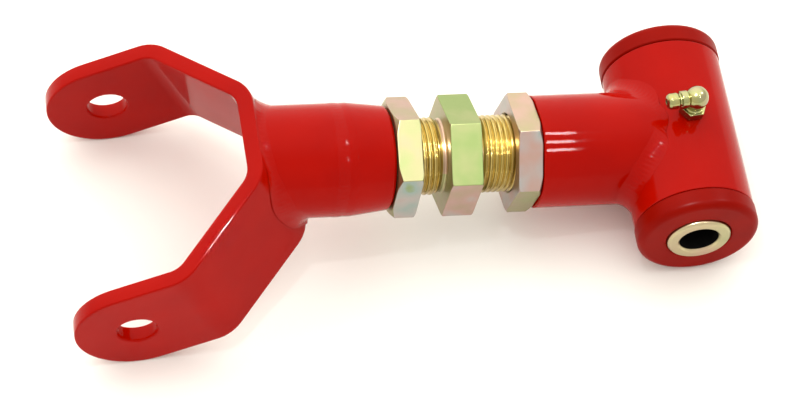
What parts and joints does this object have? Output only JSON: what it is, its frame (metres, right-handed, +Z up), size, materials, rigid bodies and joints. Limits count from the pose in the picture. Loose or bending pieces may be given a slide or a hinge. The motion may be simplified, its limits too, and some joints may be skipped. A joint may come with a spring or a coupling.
{
  "type": "adjustable suspension control arm",
  "caption": "Adjustable suspension control arm: a bent yoke and a greasable bushing end joined by a double-threaded hexagonal adjuster with jam nuts.",
  "frame": {"origin": "centre of the underside of the arm's box, as it lies on its ears and its bushing end", "axes": "+X from the yoke to the bushing, +Y along both bolt axes away from the side shown, +Z up"},
  "size_m": [0.2704, 0.1094, 0.0728],
  "materials": {
    "red_coat": "gloss red powder coat over welded steel",
    "urethane": "moulded red polyurethane, satin",
    "yellow_zinc": "machined steel, yellow zinc chromate with faint rainbow tints",
    "zinc_thread": "cut thread and hexagon, yellow zinc chromate",
    "fitting_zinc": "small turned fitting, yellow zinc chromate",
    "bare_steel": "bright bare steel"
  },
  "bodies": {
    "bushing_end": {"stub_tube": "red_coat", "shell_weld": "red_coat", "bushing_shell": "red_coat", "front_bushing_half": "urethane", "rear_bushing_half": "urethane", "grease_fitting_body": "fitting_zinc", "grease_nipple": "fitting_zinc", "grease_check_spring": "bare_steel"},
    "sleeve": {"inner_sleeve": "yellow_zinc"},
    "adjuster": {"adjuster_stud": "zinc_thread"},
    "right_nut": {"right_jam_nut": "yellow_zinc"},
    "yoke_end": {"yoke_plate": "red_coat", "yoke_tube": "red_coat", "yoke_weld": "red_coat", "threaded_bung": "red_coat", "bung_weld": "red_coat"},
    "left_nut": {"left_jam_nut": "yellow_zinc"},
    "check_ball": {"grease_check_ball": "bare_steel"}
  },
  "joints": [
    {"name": "sleeve_pivot", "type": "hinge", "parent": "bushing_end", "child": "sleeve", "pos_m": [0.11104, 0, 0.0242], "axis": [0, 1, 0], "continuous": true},
    {"name": "adjuster_turn", "type": "hinge", "parent": "bushing_end", "child": "adjuster", "pos_m": [0.02048, 0, 0.03656], "axis": [-0.9908, 0, 0.1352], "range_deg": [-900, 900]},
    {"name": "arm_length", "type": "slide", "parent": "bushing_end", "child": "yoke_end", "axis": [-0.9908, 0, 0.1352], "range_m": [-0.01058, 0.01058]},
    {"name": "right_nut_travel", "type": "slide", "parent": "bushing_end", "child": "right_nut", "axis": [-0.9908, 0, 0.1352], "range_m": [0, 0.014]},
    {"name": "left_nut_travel", "type": "slide", "parent": "yoke_end", "child": "left_nut", "axis": [0.9908, 0, -0.1352], "range_m": [0, 0.0108]},
    {"name": "check_ball_lift", "type": "slide", "parent": "bushing_end", "child": "check_ball", "axis": [0.9834, 0.1219, -0.1342], "range_m": [0, 0.0008], "stiffness_N_per_m": 200, "springref_m": -0.0005, "deforming": ["grease_check_spring"]}
  ],
  "couplings": [
    {"joint": "adjuster_turn", "follows": "arm_length", "rad_per_m": 1484.2}
  ]
}
